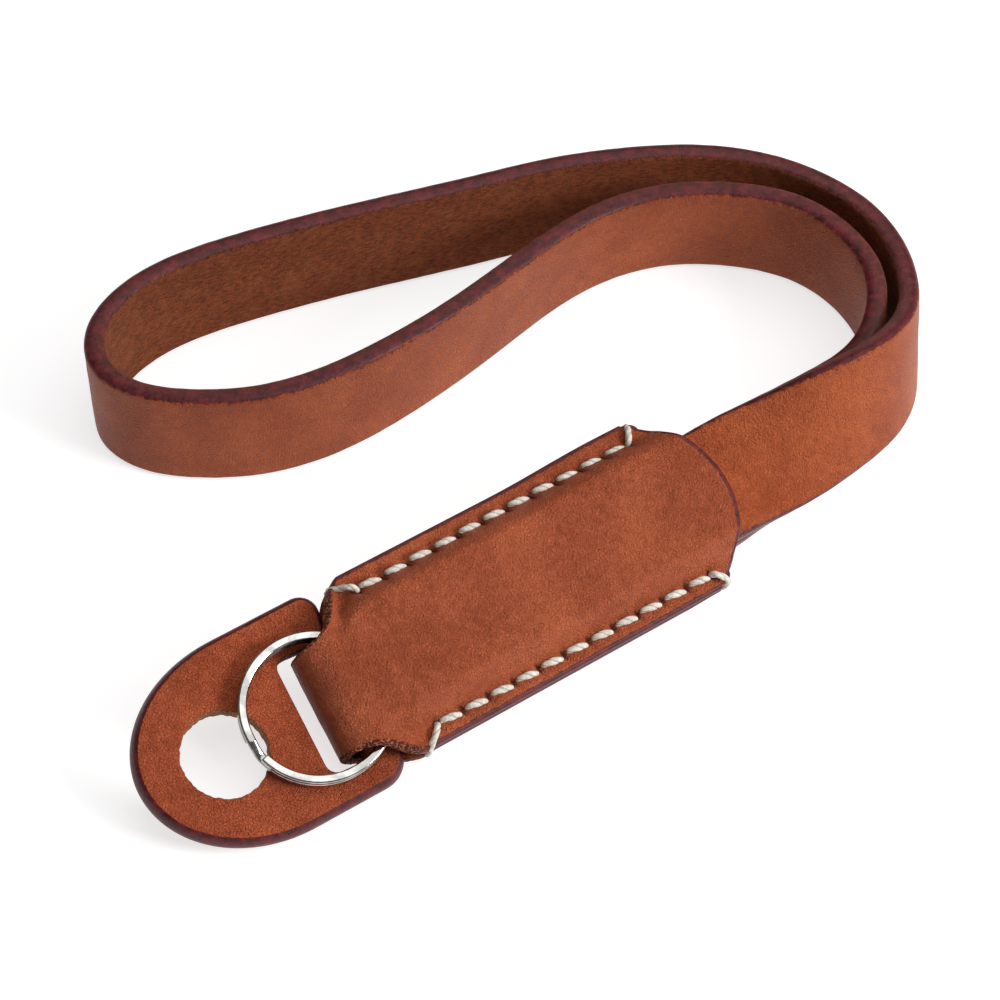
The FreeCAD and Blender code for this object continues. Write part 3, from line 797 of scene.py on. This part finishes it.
def pad_loops():
    """Outline, lug hole and slot, as plan loops; the hole's cut is a little ragged."""
    hw, r, right, left = pad_half_width, pad_corner_r, pad_right_u, pad_round_start_u
    half = hw - r
    hollow = [(right - pad_hidden_hollow * (1 - (k / 8) ** 2), half * k / 8) for k in range(-7, 8)]
    far_r = pad_far_corner_r
    outline = hollow + arc(right - far_r, hw - far_r, far_r, 0, 90, 12)
    outline += [(left + (left - pad_left_u) * math.cos(a), hw * math.sin(a))
                for a in np.radians(np.linspace(90, 270, 60))]
    outline += arc(right - r, -hw + r, r, 270, 360, 12)
    outline = resample(outline, 0.45)
    hole = resample(arc(pad_hole_u, pad_hole_v, pad_hole_r, 0, 360, 90)[:-1], 0.2)
    ragged = wobble(np.c_[hole, np.zeros(len(hole))], 1.6, 21) * 0.14
    ragged += wobble(np.c_[hole, np.zeros(len(hole))], 4.2, 22) * 0.07
    away = hole - np.array([pad_hole_u, pad_hole_v])
    hole = hole + away / pad_hole_r * ragged[:, None]
    x0, x1, y1, c = slot_left_u, slot_right_u, slot_half_length, slot_corner_r
    slot = (arc(x1 - c, y1 - c, c, 0, 90, 6) + arc(x0 + c, y1 - c, c, 90, 180, 6)
            + arc(x0 + c, -y1 + c, c, 180, 270, 6) + arc(x1 - c, -y1 + c, c, 270, 360, 6))
    a = math.radians(-fold_skew_deg)
    slot = np.array(slot)
    middle = (x0 + x1) / 2
    dx = slot[:, 0] - middle
    slot = np.stack([middle + dx * math.cos(a) - slot[:, 1] * math.sin(a),
                     slot_centre_v + dx * math.sin(a) + slot[:, 1] * math.cos(a)], 1)
    slot = resample([tuple(p) for p in slot], 0.4)
    return outline, hole, slot


def inset(loop, distance):
    """Move a plan loop to its left by a distance."""
    ahead = np.roll(loop, -1, axis=0) - np.roll(loop, 1, axis=0)
    ahead /= np.linalg.norm(ahead, axis=1)[:, None]
    return loop + np.stack([-ahead[:, 1], ahead[:, 0]], 1) * distance


def distance_to(points, loop):
    """Distance in plan from each point to a closed loop."""
    best = np.full(len(points), no_edge_near)
    for a, b in zip(loop, np.roll(loop, -1, axis=0)):
        d = b - a
        t = np.clip(((points - a) @ d) / (d @ d), 0, 1)
        best = np.minimum(best, np.linalg.norm(points - (a + t[:, None] * d), axis=1))
    return best


def protector_pad():
    loops = pad_loops()
    top, bottom = pad_top_w, pad_top_w - pad_thick - pad_extra_depth
    # the wall's section from top to bottom: rounded at the outline, crisp in the hole and slot
    angles = np.radians(np.linspace(0, 180, 9))
    heights = [(top + bottom) / 2
               + (top - bottom) / 2 * math.copysign(abs(math.cos(a)) ** 0.8, math.cos(a))
               for a in angles]
    rounded = [(0.5 * (1 - math.sin(a)), w) for a, w in zip(angles, heights)]
    crisp = [(0.16 * (1 - math.sin(a)) ** 2, w) for a, w in zip(angles, heights)]
    bm = bmesh.new()
    rims = {0: [], len(angles) - 1: []}
    for index, loop in enumerate(loops):
        levels = []
        for distance, w in (crisp if index else rounded):
            flare = pad_flare * (1 - (w - bottom) / pad_thick)
            plan = inset(loop, -distance if index else distance - flare)
            levels.append([bm.verts.new((x, y, w)) for x, y in plan])
        for k in range(len(levels) - 1):
            for j in range(len(loop)):
                m = (j + 1) % len(loop)
                quad = (levels[k][j], levels[k][m], levels[k + 1][m], levels[k + 1][j])
                bm.faces.new(quad if index else tuple(reversed(quad)))
        for k in rims:
            ring = levels[k]
            rims[k] += [bm.edges.get((ring[j], ring[(j + 1) % len(ring)])) for j in range(len(ring))]
    for k, edges in rims.items():
        bmesh.ops.triangle_fill(bm, use_beauty=True, use_dissolve=False, edges=edges)
    # a grid of cuts, so that the faces have points to bend and dent at
    for axis, low, high in ((0, pad_left_u, pad_right_u), (1, -pad_half_width, pad_half_width)):
        for place in np.arange(low + 0.3, high, 0.55):
            at, direction = [0, 0, 0], [0, 0, 0]
            at[axis], direction[axis] = float(place), 1
            geometry = bm.verts[:] + bm.edges[:] + bm.faces[:]
            bmesh.ops.bisect_plane(bm, geom=geometry, plane_co=at, plane_no=direction, dist=1e-5)
    bmesh.ops.recalc_face_normals(bm, faces=bm.faces[:])
    bm.verts.index_update()
    points = np.array([v.co[:] for v in bm.verts])
    faces = [tuple(v.index for v in f.verts) for f in bm.faces]
    bm.free()
    plan = points[:, :2]
    to_outline, to_hole, to_slot = [distance_to(plan, loop) for loop in loops]
    # painted at the outline, raw in the slot, and bare fibre in the hole
    cut = np.minimum(to_hole, to_slot)
    depth = np.clip((points[:, 2] - bottom) / (top - bottom), 0, 1)
    walls = (depth > 0.02) & (depth < 0.98)
    rim = np.where(walls & (to_outline < 0.6), 0.0, to_outline + 0.02)
    raw = (cut < 0.45) * 1.0
    bare = 1 - smoothstep(0.15, 0.5, to_hole)
    rim = np.where(raw > 0, np.where(walls | (cut < 0.14), 0.0, 0.6), rim)
    flesh = np.where(depth < 0.4, 1.0, 0.0)
    flat = np.c_[plan, np.zeros(len(plan))]
    points[:, 2] += wobble(flat, 0.12, 31) * 0.10 * smoothstep(0, 4, to_slot)
    points[:, 2] += wobble(flat, 0.7, 32) * 0.025
    obj = build("protector_pad", lie(points), faces,
                {"rim": rim, "raw": np.maximum(raw, bare), "flesh": flesh,
                 "pit": np.zeros(len(points)), "bare": bare}, pad_leather)
    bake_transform(obj)
    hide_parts("pad_tab", "pad_flap")


# ---- studio ---------------------------------------------------------------------------------
def add_area(name, place, size, power):
    """A round softbox that faces the middle of the object."""
    light = bpy.data.lights.new(name, "AREA")
    light.shape = "DISK"
    light.size = size
    light.energy = power
    obj = bpy.data.objects.new(name, light)
    bpy.context.scene.collection.objects.link(obj)
    obj.location = place
    obj.rotation_euler = (-Vector(place)).to_track_quat("-Z", "Y").to_euler()


def studio():
    scene = bpy.context.scene
    scene.view_settings.view_transform = "Standard"
    world = bpy.data.worlds.new("studio")
    scene.world = world
    world.use_nodes = True
    background = world.node_tree.nodes["Background"]
    background.inputs["Color"].default_value = rgb(1, 1, 1)
    background.inputs["Strength"].default_value = 0.16
    add_area("key", place=(0.48, -0.20, 0.30), size=0.24, power=3.3)
    add_area("top", place=(0.17, 0.07, 0.52), size=0.80, power=2.7)
    # white paper, lit a little from within so that the shadows stay pale
    e = 3.0
    mesh = bpy.data.meshes.new("floor")
    mesh.from_pydata([(-e, -e, 0), (e, -e, 0), (e, e, 0), (-e, e, 0)], [], [(0, 1, 2, 3)])
    paper = Nodes("paper")
    mesh.materials.append(paper.set(
        Base_Color=rgb(0.45, 0.445, 0.445), Roughness=0.9, Specular_IOR_Level=0.0,
        Emission_Color=rgb(1, 1, 1), Emission_Strength=0.70))
    floor = bpy.data.objects.new("floor", mesh)
    scene.collection.objects.link(floor)
    floor.location = (0, 0, float(cad_box[0][2]) - 0.0001)


def camera():
    """Looks down at 50 degrees from the near side, like a product shot with a short telephoto."""
    target = Vector((-0.0009, 0.0014, 0.0))
    elevation, distance = math.radians(50), 0.333
    data = bpy.data.cameras.new("camera")
    data.lens, data.sensor_width = 108, 36
    data.clip_start = 0.01
    obj = bpy.data.objects.new("camera", data)
    bpy.context.scene.collection.objects.link(obj)
    obj.location = target + Vector((0, -math.cos(elevation), math.sin(elevation))) * distance
    obj.rotation_euler = (math.pi / 2 - elevation, 0, 0)
    bpy.context.scene.camera = obj


loop_strap()
sleeve_cover()
stitch_row(1, "stitching_far", "stitch_thread_far")
stitch_row(-1, "stitching_near", "stitch_thread_near")
split_ring()
protector_pad()
studio()
camera()
